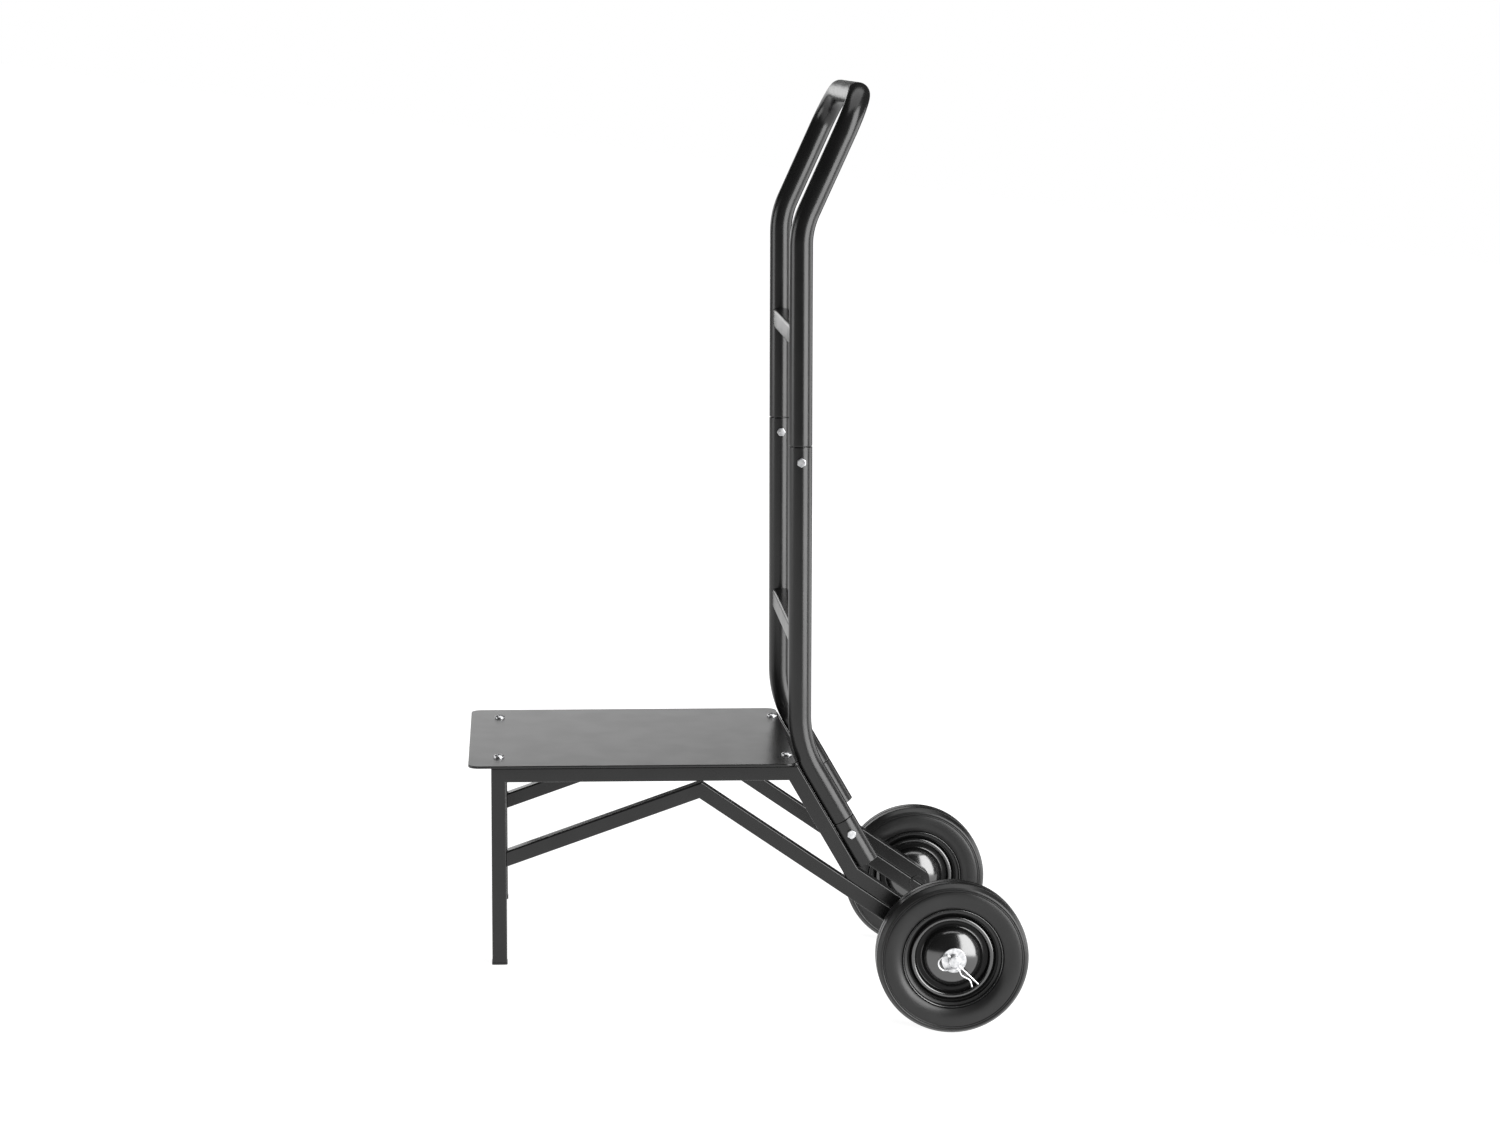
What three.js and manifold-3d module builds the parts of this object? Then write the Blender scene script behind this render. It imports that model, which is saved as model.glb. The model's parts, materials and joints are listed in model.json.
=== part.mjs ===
// Two-wheeled stacking-chair cart: bolted square-tube base, platform plate, round-tube handle.
//
// Units are millimetres, +Z up, +X to the cart's left, +Y to its rear.
// The cart is drawn with its platform level and the axle at the origin, then leaned
// about the axle until its two feet stand on the same floor as its tyres.

import * as THREE from 'three';
import { mergeVertices } from 'three/addons/utils/BufferGeometryUtils.js';
import Module from 'manifold-3d';

const wasm = await Module();
wasm.setup();

// ---------------------------------------------------------------- driving sizes

const GAP = 0.3;                      // clearance between neighbouring pieces

const TYRE_RADIUS = 101.5;
const TYRE_HALF_WIDTH = 22.5;
const TYRE_TREAD = 7;                 // thickness of the tyre under its tread
const RIM_RADIUS = 67.2;              // rim flange
const RIM_RING_RADIUS = 54.4;         // raised ring inside the flange
const RIM_DOME_RADIUS = 40.6;         // foot of the domed hub

const TUBE = 20;                      // square tube, outside
const TUBE_WALL = 1.5;
const TUBE_CORNER = 2.2;
const FRAME_X = 184.2;                // side frame's middle plane
const WHEEL_CLEAR = 17.7;             // side frame's outer face to the tyre

const LEG_FRONT = 612.8;              // front face of the legs, ahead of the axle
const LEG_FOOT = 17.8;                // underside of the foot caps, below the axle
const RAIL_TOP = 250.9;               // top of the rails, above the axle
const POST_ANGLE = 30;                // rear post, degrees from vertical
const ARM_ANGLE = 34.4;               // rear brace and arm, degrees below horizontal
const ARM_SEAM = 1.9;                 // seam between the two arm tubes, above the axle
const ARM_TIP = TUBE + 0.5;           // radius of the rounded arm tips about the axle
const BRACE_PEAK_DROP = 1.4;          // top of the brace's peak, below the rail
const BRACE_ON_LEG = 137.2;           // front brace's top edge on the leg, above the axle

const PLATE_LIP = 7.2;                // plate beyond the rails' outer faces
const PLATE_OVERHANG = 30.7;          // plate ahead of the legs
const PLATE_THICK = 3.5;
const PLATE_CORNER = 15;
const PLATE_BOLT_X = 140;
const PLATE_BOLT_RADIUS = 4;

const HANDLE_Y = -200.2;              // upright handle tubes, ahead of the axle
const HANDLE_RADIUS = 15.5;
const HANDLE_WALL = 1.6;
const HANDLE_JOINT = 679.7;           // joint between lower tubes and upper loop
const BEND_LOW = 277.5;               // where the uprights turn towards the axle
const BEND_UP = 968.3;                // where the loop starts to lean back
const BEND_ANGLE = 24.4;              // lean of the loop, degrees from vertical
const LOOP_TOP = 1142;                // axis of the loop's top run
const LOWER_BEND_RADIUS = 150;
const UPPER_BEND_RADIUS = 110;
const LOOP_CORNER_RADIUS = 55;
const SPIGOT_LENGTH = 46;
const SOCKET_LENGTH = 66.5;
const BOLT_BELOW_JOINT = 20.5;
const JOINT_BOLT_RADIUS = 3;

const BAR_TALL = 26;                  // crossbars between the uprights
const BAR_DEEP = 23;
const BAR_HEIGHTS = { lower: 420.7, upper: 821.9 };

const AXLE_RADIUS = 8;
const BOSS_WALL = 4;
const BEARING_SLIP = 0.08;            // bearing bore over the axle
const BEARING_WALL = 2.62;
const BEARING_LENGTH = 9;
const HUB_WALL = 2.2;
const HUB_HALF = 24.6;                // half the hub tube's length
const WASHER_RADIUS = 16.5;
const WASHER_THICK = 2;
const COLLAR_THICK = 2.4;

// ---------------------------------------------------------------- small helpers

const X_AXIS = new THREE.Vector3(1, 0, 0);
const rad = THREE.MathUtils.degToRad;
const point = (x, y, z) => new THREE.Vector3(x, y, z);

/** A direction in the side view, in degrees above the cart's rearward axis. */
function sideDirection(degrees) {
  return point(0, Math.cos(rad(degrees)), Math.sin(rad(degrees)));
}

/** The same position moved sideways to the plane x. */
function atX(position, x) {
  return point(x, position.y, position.z);
}

/** Crossing of two lines in the side view. */
function crossing(a, alongA, b, alongB) {
  const det = alongA.y * alongB.z - alongA.z * alongB.y;
  const t = ((b.y - a.y) * alongB.z - (b.z - a.z) * alongB.y) / det;
  return a.clone().addScaledVector(alongA, t);
}

function toManifold(geometry) {
  const bare = new THREE.BufferGeometry();
  bare.setAttribute('position', geometry.getAttribute('position'));
  bare.setIndex(geometry.getIndex());
  const merged = mergeVertices(bare, 1e-4);
  return new wasm.Manifold(new wasm.Mesh({
    numProp: 3,
    vertProperties: new Float32Array(merged.getAttribute('position').array),
    triVerts: new Uint32Array(merged.getIndex().array),
  }));
}

function fromManifold(solid) {
  const mesh = solid.getMesh();
  const geometry = new THREE.BufferGeometry();
  geometry.setAttribute('position', new THREE.BufferAttribute(mesh.vertProperties, 3));
  geometry.setIndex(new THREE.BufferAttribute(mesh.triVerts, 1));
  geometry.computeVertexNormals();
  return geometry;
}

/** One body: the added solids, less the removed ones. */
function combine(added, removed = []) {
  const [first, ...more] = added.map(toManifold);
  const whole = more.reduce((sum, solid) => sum.add(solid), first);
  return fromManifold(removed.map(toManifold).reduce((rest, hole) => rest.subtract(hole), whole));
}

// ---------------------------------------------------------------- profiles

function polygon(radius, sides, turn = 0) {
  const corners = [];
  for (let i = 0; i < sides; i += 1) {
    const angle = turn + (2 * Math.PI * i) / sides;
    corners.push(new THREE.Vector2(radius * Math.cos(angle), radius * Math.sin(angle)));
  }
  return corners;
}

function disc(radius, sides = 16) {
  return new THREE.Shape(polygon(radius, sides, Math.PI / sides));
}

function ring(outer, inner, sides = 16) {
  const shape = disc(outer, sides);
  shape.holes.push(new THREE.Path(polygon(inner, sides, Math.PI / sides)));
  return shape;
}

function roundedRectangle(width, height, radius, steps = 2) {
  const corners = [];
  for (let quarter = 0; quarter < 4; quarter += 1) {
    const sx = quarter === 0 || quarter === 3 ? 1 : -1;
    const sy = quarter < 2 ? 1 : -1;
    for (let i = 0; i <= steps; i += 1) {
      const angle = (Math.PI / 2) * (quarter + i / steps);
      corners.push(new THREE.Vector2(
        sx * (width / 2 - radius) + radius * Math.cos(angle),
        sy * (height / 2 - radius) + radius * Math.sin(angle),
      ));
    }
  }
  return new THREE.Shape(corners);
}

function boxSection(width, height, wall, corner) {
  const shape = roundedRectangle(width, height, corner);
  const x = width / 2 - wall;
  const y = height / 2 - wall;
  shape.holes.push(new THREE.Path([
    new THREE.Vector2(x, y),
    new THREE.Vector2(-x, y),
    new THREE.Vector2(-x, -y),
    new THREE.Vector2(x, -y),
  ]));
  return shape;
}

function hexagon(acrossFlats, turn = 0) {
  return new THREE.Shape(polygon(acrossFlats / Math.sqrt(3), 6, turn));
}

const squareSection = boxSection(TUBE, TUBE, TUBE_WALL, TUBE_CORNER);
const squareSolid = roundedRectangle(TUBE, TUBE, TUBE_CORNER);

// ---------------------------------------------------------------- solids

/** A profile run from start to end, each end cut by a plane with the given normal. */
function run(profile, start, end, startCut = null, endCut = null) {
  const along = end.clone().sub(start).normalize();
  const across = Math.abs(along.x) > 0.9 ? point(0, 1, 0) : X_AXIS;
  const up = along.clone().cross(across);
  const geometry = new THREE.ExtrudeGeometry(profile, { depth: 1, bevelEnabled: false });
  const vertices = geometry.getAttribute('position');
  for (let i = 0; i < vertices.count; i += 1) {
    const nearStart = vertices.getZ(i) < 0.5;
    const anchor = nearStart ? start : end;
    const normal = (nearStart ? startCut : endCut) ?? along;
    const vertex = start.clone()
      .addScaledVector(across, vertices.getX(i))
      .addScaledVector(up, vertices.getY(i));
    const reach = anchor.clone().sub(vertex).dot(normal) / along.dot(normal);
    vertex.addScaledVector(along, reach);
    vertices.setXYZ(i, vertex.x, vertex.y, vertex.z);
  }
  return geometry;
}

/** A closed [axial, radius] outline turned about X; outward is +1 or -1 along X. */
function turned(outline, segments, centreX, outward) {
  let doubled = 0;
  outline.forEach(([a, r], i) => {
    const [nextA, nextR] = outline[(i + 1) % outline.length];
    doubled += r * nextA - nextR * a;
  });
  const loop = doubled > 0 ? [...outline] : [...outline].reverse();
  loop.push(loop[0]);
  const profile = loop.map(([a, r]) => new THREE.Vector2(r, a));
  const geometry = new THREE.LatheGeometry(profile, segments);
  geometry.rotateZ(-Math.PI / 2);
  if (outward < 0) {
    geometry.rotateZ(Math.PI);
  }
  return geometry.translate(centreX, 0, 0);
}

/** A path whose stations are the ends of its straights and steps round its bends. */
class BentPath extends THREE.Curve {
  constructor(corners, radii, stepDegrees = 6) {
    super();
    this.points = [corners[0]];
    this.tangents = [corners[1].clone().sub(corners[0]).normalize()];
    for (let i = 1; i < corners.length - 1; i += 1) {
      this.addBend(corners[i - 1], corners[i], corners[i + 1], radii[i - 1], stepDegrees);
    }
    const last = corners.length - 1;
    this.points.push(corners[last]);
    this.tangents.push(corners[last].clone().sub(corners[last - 1]).normalize());
  }

  addBend(before, corner, after, radius, stepDegrees) {
    const inward = corner.clone().sub(before).normalize();
    const outward = after.clone().sub(corner).normalize();
    const angle = inward.angleTo(outward);
    const tangentLength = radius * Math.tan(angle / 2);
    const first = corner.clone().addScaledVector(inward, -tangentLength);
    const axis = inward.clone().cross(outward).normalize();
    const toCentre = axis.clone().cross(inward);
    const centre = first.clone().addScaledVector(toCentre, radius);
    const steps = Math.ceil(THREE.MathUtils.radToDeg(angle) / stepDegrees);
    for (let i = 0; i <= steps; i += 1) {
      const turn = (angle * i) / steps;
      const arm = first.clone().sub(centre).applyAxisAngle(axis, turn);
      this.points.push(centre.clone().add(arm));
      this.tangents.push(inward.clone().applyAxisAngle(axis, turn));
    }
  }

  station(u) {
    return Math.round(u * (this.points.length - 1));
  }

  getPoint(u) {
    return this.points[this.station(u)].clone();
  }

  getPointAt(u) {
    return this.getPoint(u);
  }

  getTangentAt(u) {
    return this.tangents[this.station(u)].clone();
  }
}

function sweep(profile, path) {
  return new THREE.ExtrudeGeometry(profile, {
    extrudePath: path,
    steps: path.points.length - 1,
    bevelEnabled: false,
  });
}

// ---------------------------------------------------------------- materials and assembly

const finishes = {
  frame: { color: 0x1c1c1d, roughness: 0.45, metalness: 0.3 },
  plate: { color: 0x1e1e1f, roughness: 0.4, metalness: 0.3 },
  zinc: { color: 0xd6d8da, roughness: 0.28, metalness: 1.0 },
  rubber: { color: 0x151515, roughness: 0.7, metalness: 0.0 },
  rim: { color: 0x171718, roughness: 0.3, metalness: 0.3 },
  cap: { color: 0x0d0d0d, roughness: 0.6, metalness: 0.0 },
  bearing: { color: 0xb9bbbe, roughness: 0.35, metalness: 1.0 },
};

const group = new THREE.Group();
const cart = new THREE.Group();
const wheels = new THREE.Group();
group.add(cart, wheels);

function add(parent, name, geometry, finish) {
  const mesh = new THREE.Mesh(geometry, new THREE.MeshStandardMaterial(finishes[finish]));
  mesh.name = name;
  parent.add(mesh);
}

const sides = [
  { name: 'left', sign: 1 },
  { name: 'right', sign: -1 },
];

// ---------------------------------------------------------------- side-view layout

const half = TUBE / 2;
const wheelX = FRAME_X + half + WHEEL_CLEAR + TYRE_HALF_WIDTH;
const bossRadius = AXLE_RADIUS + BOSS_WALL;
const legY = -LEG_FRONT + half;
const railZ = RAIL_TOP - half;
const upward = point(0, 0, 1);
const rearward = point(0, 1, 0);
const postAlong = sideDirection(POST_ANGLE - 90);     // down and to the rear
const postNormal = sideDirection(POST_ANGLE);         // out of the post's rear face
const armAlong = sideDirection(-ARM_ANGLE);
const armNormal = sideDirection(90 - ARM_ANGLE);

// The handle's lower run lies along the rear face of the post.
const handleBend = point(0, HANDLE_Y, BEND_LOW);
const postLine = handleBend.clone().addScaledVector(postNormal, -(half + GAP + HANDLE_RADIUS));
const armSeam = armNormal.clone().multiplyScalar(ARM_SEAM);
const upperArmLine = armSeam.clone().addScaledVector(armNormal, half + GAP / 2);
const braceLine = armSeam.clone().addScaledVector(armNormal, -half - GAP / 2);

const frontCorner = point(0, legY, railZ);
const rearCorner = crossing(frontCorner, rearward, postLine, postAlong);
const postFoot = crossing(postLine, postAlong, upperArmLine, armAlong);

const peakTop = crossing(
  armSeam.clone().addScaledVector(armNormal, -GAP / 2), armAlong,
  point(0, 0, RAIL_TOP - TUBE - BRACE_PEAK_DROP), rearward,
);
const braceSlope = Math.atan2(
  peakTop.z - BRACE_ON_LEG,
  peakTop.y - (legY + half),
);
const frontBraceAlong = point(0, Math.cos(braceSlope), Math.sin(braceSlope));
const frontBraceLine = peakTop.clone()
  .addScaledVector(point(0, -frontBraceAlong.z, frontBraceAlong.y), -half);
const bracePeak = crossing(frontBraceLine, frontBraceAlong, braceLine, armAlong);
const braceFoot = crossing(
  frontBraceLine, frontBraceAlong,
  point(0, legY + half + GAP, 0), upward,
);

/** Normal of the mitre between a run along a and the run that follows it along b. */
function mitre(a, b) {
  return a.clone().add(b).normalize();
}

/** A mitred end drawn back by half the clearance. */
function backed(corner, along, amount = GAP / 2) {
  return corner.clone().addScaledVector(along, amount);
}

// ---------------------------------------------------------------- side frames

function squareRun(x, start, end, startCut, endCut) {
  return run(squareSection, atX(start, x), atX(end, x), startCut, endCut);
}

/** An arm tube: open at its front, solid and rounded round the axle at its tip. */
function armSolid(x, line, start, startCut) {
  const axleLine = line.clone().addScaledVector(armAlong, -line.dot(armAlong));
  const tip = axleLine.clone().addScaledVector(armAlong, ARM_TIP + 2);
  const solidFrom = axleLine.clone().addScaledVector(armAlong, -ARM_TIP - 8);
  const outside = run(squareSolid, atX(start, x), atX(tip, x), startCut, null);
  const inside = TUBE - 2 * TUBE_WALL;
  const bore = run(
    roundedRectangle(inside, inside, 0.5, 1),
    atX(start, x).addScaledVector(armAlong, -TUBE), atX(solidFrom, x), startCut, null,
  );
  const wide = TUBE + 4;
  const beyond = run(
    roundedRectangle(wide, 4 * ARM_TIP, 1, 1),
    point(x, 0, 0), atX(armAlong.clone().multiplyScalar(2 * ARM_TIP), x),
  );
  const round = run(disc(ARM_TIP, 32), point(x - wide, 0, 0), point(x + wide, 0, 0));
  const cut = combine([beyond], [round]);
  const bossHole = run(
    disc(bossRadius + GAP, 24), point(x - wide, 0, 0), point(x + wide, 0, 0),
  );
  return combine([outside], [bore, cut, bossHole]);
}

function addSideFrame({ name, sign }) {
  const x = sign * FRAME_X;
  const legFoot = point(0, legY, -LEG_FOOT + 3 + GAP);
  const cornerCut = mitre(upward, rearward);
  add(cart, `${name}_front_leg`, squareRun(
    x, legFoot, backed(frontCorner, upward, -GAP / 2), upward, cornerCut,
  ), 'frame');
  add(cart, `${name}_top_rail`, squareRun(
    x, backed(frontCorner, rearward), backed(rearCorner, rearward, -GAP / 2),
    cornerCut, mitre(rearward, postAlong),
  ), 'frame');
  const footCut = mitre(postAlong, armAlong);
  add(cart, `${name}_rear_post`, squareRun(
    x, backed(rearCorner, postAlong), backed(postFoot, postAlong, -GAP / 2),
    mitre(rearward, postAlong), footCut,
  ), 'frame');
  add(cart, `${name}_upper_arm`,
    armSolid(x, upperArmLine, backed(postFoot, armAlong), footCut), 'frame');
  const peakCut = mitre(frontBraceAlong, armAlong);
  add(cart, `${name}_brace_front`, squareRun(
    x, braceFoot, backed(bracePeak, frontBraceAlong, -GAP / 2), rearward, peakCut,
  ), 'frame');
  add(cart, `${name}_brace_rear`,
    armSolid(x, braceLine, backed(bracePeak, armAlong), peakCut), 'frame');
  addFootCap(name, x);
}

/** A cap whose flange closes the leg and whose plug sits inside it. */
function addFootCap(name, x) {
  const plugSize = TUBE - 2 * TUBE_WALL - 2 * GAP;
  const flange = run(
    roundedRectangle(TUBE + 1, TUBE + 1, TUBE_CORNER),
    point(x, legY, -LEG_FOOT), point(x, legY, -LEG_FOOT + 3),
  );
  const plug = run(
    roundedRectangle(plugSize, plugSize, 1, 1),
    point(x, legY, -LEG_FOOT + 2), point(x, legY, -LEG_FOOT + 15),
  );
  add(cart, `${name}_foot_cap`, combine([flange, plug]), 'cap');
}

// ---------------------------------------------------------------- platform

const plateWidth = 2 * (FRAME_X + half + PLATE_LIP);
const boltHole = PLATE_BOLT_RADIUS + 0.4;
const boltHead = 1.775 * PLATE_BOLT_RADIUS;
const frontBoltY = legY + 0.1;
const rearTubeY = rearCorner.y - 5.5;
const plateTop = RAIL_TOP + GAP + PLATE_THICK;
const plateFront = -LEG_FRONT - PLATE_OVERHANG;

/** Front surface of the handle tubes where they pass the platform. */
function handleFrontAt(height) {
  const onLowerRun = handleBend.clone()
    .addScaledVector(postAlong, (handleBend.z - height) / Math.cos(rad(POST_ANGLE)));
  return onLowerRun.y - HANDLE_RADIUS / Math.cos(rad(POST_ANGLE));
}

const plateRear = handleFrontAt(plateTop) - GAP;

function throughPlate(x, y) {
  return run(disc(boltHole), point(x, y, RAIL_TOP - 2 * TUBE), point(x, y, RAIL_TOP + TUBE));
}

/** The plate, its middle panel a clear flat face of its own between the screws. */
function addPlatform() {
  const length = plateRear - plateFront;
  const middle = (plateRear + plateFront) / 2;
  const margin = 3 * boltHead;
  const outline = roundedRectangle(plateWidth, length, PLATE_CORNER, 5);
  const panel = roundedRectangle(
    2 * (PLATE_BOLT_X - margin), rearTubeY - frontBoltY - 2 * margin, 1, 1,
  );
  outline.holes.push(new THREE.Path(panel.getPoints()));
  const sheet = [outline, panel].map((shape) => new THREE.ExtrudeGeometry(
    shape, { depth: PLATE_THICK, bevelEnabled: false },
  ).translate(0, middle, plateTop - PLATE_THICK));
  const holes = [];
  for (const x of [PLATE_BOLT_X, -PLATE_BOLT_X]) {
    holes.push(throughPlate(x, frontBoltY), throughPlate(x, rearTubeY));
  }
  add(cart, 'platform_plate', combine(sheet, holes), 'plate');
}

function addCrossTube(name, y) {
  const reach = FRAME_X - half - GAP;
  const tube = run(squareSection, point(-reach, y, railZ), point(reach, y, railZ));
  const holes = [throughPlate(PLATE_BOLT_X, y), throughPlate(-PLATE_BOLT_X, y)];
  add(cart, name, combine([tube], holes), 'frame');
}

/** A low domed screw with a round socket, its head seated at the given height. */
function domedBolt(seat, length) {
  const shank = PLATE_BOLT_RADIUS;
  const outline = [
    [-length, 0], [-length, shank - 0.6], [-length + 0.8, shank], [0, shank], [0, boltHead],
    [0.18 * boltHead, boltHead], [0.42 * boltHead, 0.76 * boltHead],
    [0.56 * boltHead, 0.35 * boltHead], [0.31 * boltHead, 0.3 * boltHead],
    [0.31 * boltHead, 0],
  ];
  const bolt = turned(outline, 14, 0, 1);
  bolt.rotateY(-Math.PI / 2);
  return bolt.translate(seat.x, seat.y, seat.z);
}

/** A hexagon nut between two points, bored clear of a bolt of the given radius. */
function nut(start, end, boltRadius, acrossFlats = 3.25 * boltRadius) {
  const shape = hexagon(acrossFlats, Math.PI / 6);
  shape.holes.push(new THREE.Path(polygon(boltRadius + GAP, 14)));
  return run(shape, start, end);
}

function addPlatformBolts({ name, sign }) {
  const under = RAIL_TOP - TUBE - GAP;
  const nutHeight = 1.625 * PLATE_BOLT_RADIUS;
  for (const [place, y] of [['front', frontBoltY], ['rear', rearTubeY]]) {
    const seat = point(sign * PLATE_BOLT_X, y, plateTop + GAP);
    add(cart, `${name}_platform_bolt_${place}`,
      domedBolt(seat, plateTop - under + nutHeight + 2.5), 'zinc');
    add(cart, `${name}_platform_nut_${place}`,
      nut(point(seat.x, y, under - nutHeight), point(seat.x, y, under), PLATE_BOLT_RADIUS),
      'zinc');
  }
}

// ---------------------------------------------------------------- handle

const handleDown = postAlong;
const socketLow = crossing(
  handleBend, handleDown,
  postFootCorner(), postNormal,
);

/** Where the rear face of the post meets the top face of the arm. */
function postFootCorner() {
  return crossing(
    postLine.clone().addScaledVector(postNormal, half), postAlong,
    upperArmLine.clone().addScaledVector(armNormal, half), armAlong,
  ).addScaledVector(postAlong, -0.8);
}

const socketHigh = socketLow.clone().addScaledVector(handleDown, -SOCKET_LENGTH);
const socketBolt = socketHigh.clone().addScaledVector(handleDown, BOLT_BELOW_JOINT - GAP);
const midJoint = point(0, HANDLE_Y, HANDLE_JOINT);
const midBolt = point(0, HANDLE_Y, HANDLE_JOINT - BOLT_BELOW_JOINT);
const innerRadius = HANDLE_RADIUS - HANDLE_WALL;
const spigotRadius = innerRadius - GAP;

/** Solids that make a reduced tube end, running from the joint along the given direction. */
function spigot(joint, along) {
  const from = joint.clone().addScaledVector(along, -3);
  const to = joint.clone().addScaledVector(along, SPIGOT_LENGTH);
  return {
    body: run(disc(spigotRadius), from, to),
    bore: run(disc(spigotRadius - HANDLE_WALL),
      joint.clone().addScaledVector(along, -8), to.clone().addScaledVector(along, 1)),
  };
}

function crossHole(centre) {
  return run(disc(JOINT_BOLT_RADIUS + 0.4, 14),
    point(centre.x - 2 * HANDLE_RADIUS, centre.y, centre.z),
    point(centre.x + 2 * HANDLE_RADIUS, centre.y, centre.z));
}

function addSocket({ name, sign }) {
  const x = sign * FRAME_X;
  const tube = run(ring(HANDLE_RADIUS, innerRadius), atX(socketHigh, x), atX(socketLow, x));
  add(cart, `${name}_handle_socket`, combine([tube], [crossHole(atX(socketBolt, x))]), 'frame');
}

function addLowerTube({ name, sign }) {
  const x = sign * FRAME_X;
  const foot = atX(socketHigh, x).addScaledVector(handleDown, -GAP);
  const corner = atX(handleBend, x);
  const top = atX(midJoint, x).addScaledVector(upward, -GAP);
  const outer = new BentPath([foot, corner, top], [LOWER_BEND_RADIUS]);
  const inner = new BentPath(
    [foot.clone().addScaledVector(handleDown, -4), corner, top.clone().addScaledVector(upward, 5)],
    [LOWER_BEND_RADIUS],
  );
  const end = spigot(foot, handleDown);
  const holes = [
    crossHole(atX(socketBolt, x)),
    crossHole(atX(midBolt, x)),
  ];
  add(cart, `${name}_lower_handle_tube`, combine(
    [sweep(disc(HANDLE_RADIUS), outer), end.body],
    [sweep(disc(innerRadius), inner), end.bore, ...holes],
  ), 'frame');
}

function loopCorners(endShift) {
  const leanBack = sideDirection(90 - BEND_ANGLE);
  const bend = point(0, HANDLE_Y, BEND_UP);
  const top = bend.clone().addScaledVector(leanBack, (LOOP_TOP - BEND_UP) / leanBack.z);
  const foot = midJoint.clone().addScaledVector(upward, endShift);
  const rising = [foot, bend, top];
  const left = rising.map((corner) => atX(corner, FRAME_X));
  const right = rising.map((corner) => atX(corner, -FRAME_X)).reverse();
  return [...left, ...right];
}

function addUpperLoop() {
  const radii = [UPPER_BEND_RADIUS, LOOP_CORNER_RADIUS, LOOP_CORNER_RADIUS, UPPER_BEND_RADIUS];
  const outer = new BentPath(loopCorners(0), radii, 12);
  const inner = new BentPath(loopCorners(4), radii, 12);
  const added = [sweep(disc(HANDLE_RADIUS), outer)];
  const removed = [sweep(disc(innerRadius), inner)];
  for (const { sign } of sides) {
    const end = spigot(atX(midJoint, sign * FRAME_X), upward.clone().negate());
    added.push(end.body);
    removed.push(end.bore, crossHole(atX(midBolt, sign * FRAME_X)));
  }
  add(cart, 'upper_handle_loop', combine(added, removed), 'frame');
}

/** A crossbar with its ends saddled round the upright tubes. */
function addCrossbar(name, height) {
  const ends = [point(-FRAME_X, HANDLE_Y, height), point(FRAME_X, HANDLE_Y, height)];
  const bar = run(boxSection(BAR_DEEP, BAR_TALL, 1.6, 3.5), ends[0], ends[1]);
  const saddles = ends.map((end) => run(
    disc(HANDLE_RADIUS + GAP),
    end.clone().addScaledVector(upward, -BAR_TALL), end.clone().addScaledVector(upward, BAR_TALL),
  ));
  add(cart, name, combine([bar], saddles), 'frame');
}

/** A hex screw along X with its head outboard and its nut inboard. */
function addJointBolt({ name, sign }, place, centre) {
  const at = (offset) => point(sign * (FRAME_X + offset), centre.y, centre.z);
  const seat = HANDLE_RADIUS + GAP;
  const headFlats = 3.53 * JOINT_BOLT_RADIUS;
  const headHeight = 1.4 * JOINT_BOLT_RADIUS;
  const nutHeight = 1.83 * JOINT_BOLT_RADIUS;
  const head = run(hexagon(headFlats), at(seat), at(seat + headHeight));
  const shank = run(disc(JOINT_BOLT_RADIUS, 14), at(-seat - nutHeight - 3.5), at(seat + 1));
  add(cart, `${name}_${place}_bolt`, combine([head, shank]), 'zinc');
  add(cart, `${name}_${place}_nut`,
    nut(at(-seat - nutHeight), at(-seat), JOINT_BOLT_RADIUS, headFlats), 'zinc');
}

// ---------------------------------------------------------------- wheels and axles

const bearingBore = AXLE_RADIUS + BEARING_SLIP;
const bearingRadius = bearingBore + BEARING_WALL;
const hubBore = bearingRadius + GAP;
const hubRadius = hubBore + HUB_WALL;

/** Half the tyre's section: tread, side wall, bead on the rim, then the hollow inside. */
function tyreHalf() {
  const tall = TYRE_RADIUS - RIM_RADIUS;
  const wide = TYRE_HALF_WIDTH;
  const wall = (share) => RIM_RADIUS + share * tall;
  return [
    [0, TYRE_RADIUS], [0.49 * wide, TYRE_RADIUS - 0.3], [0.76 * wide, TYRE_RADIUS - 1.9],
    [wide - 2.1, wall(0.78)], [wide, wall(0.49)], [wide - 1.1, wall(0.2)],
    [18.6, RIM_RADIUS + 1.4], [15.6, RIM_RADIUS + 1.2],
    [12.9, RIM_RADIUS - 3], [12.3, RIM_RADIUS - 6.2], [8.6, RIM_RADIUS - 6.2],
    [9.4, RIM_RADIUS + 0.8], [wide - 7.3, wall(0.32)],
    [wide - 9.5, TYRE_RADIUS - TYRE_TREAD - 4.5], [0, TYRE_RADIUS - TYRE_TREAD],
  ];
}

/** One rim pressing: flange, ring, recess and domed hub, then back along its inner face. */
function rimHalf() {
  const bore = hubRadius + 0.4;
  const [flange, rise, dome] = [RIM_RADIUS, RIM_RING_RADIUS, RIM_DOME_RADIUS];
  return [
    [17.8, flange], [13.6, flange - 8.2], [9.2, flange - 9],
    [8.2, rise], [2.2, rise - 2.6], [1.8, dome],
    [9.8, dome - 3.2], [17.3, dome - 11.7], [HUB_HALF - 2.1, bore],
    [HUB_HALF - 3.8, bore], [15.9, dome - 12.6], [8.6, dome - 5], [0.2, dome - 1.8],
    [0.2, rise - 1], [7, rise + 1.6], [8, flange - 7.1], [12.8, flange - 6.6],
    [16.2, flange + 0.4],
  ];
}

function mirroredLoop(outline) {
  const inboard = outline.slice(1, -1).map(([a, r]) => [-a, r]).reverse();
  return [...outline, ...inboard];
}

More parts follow.
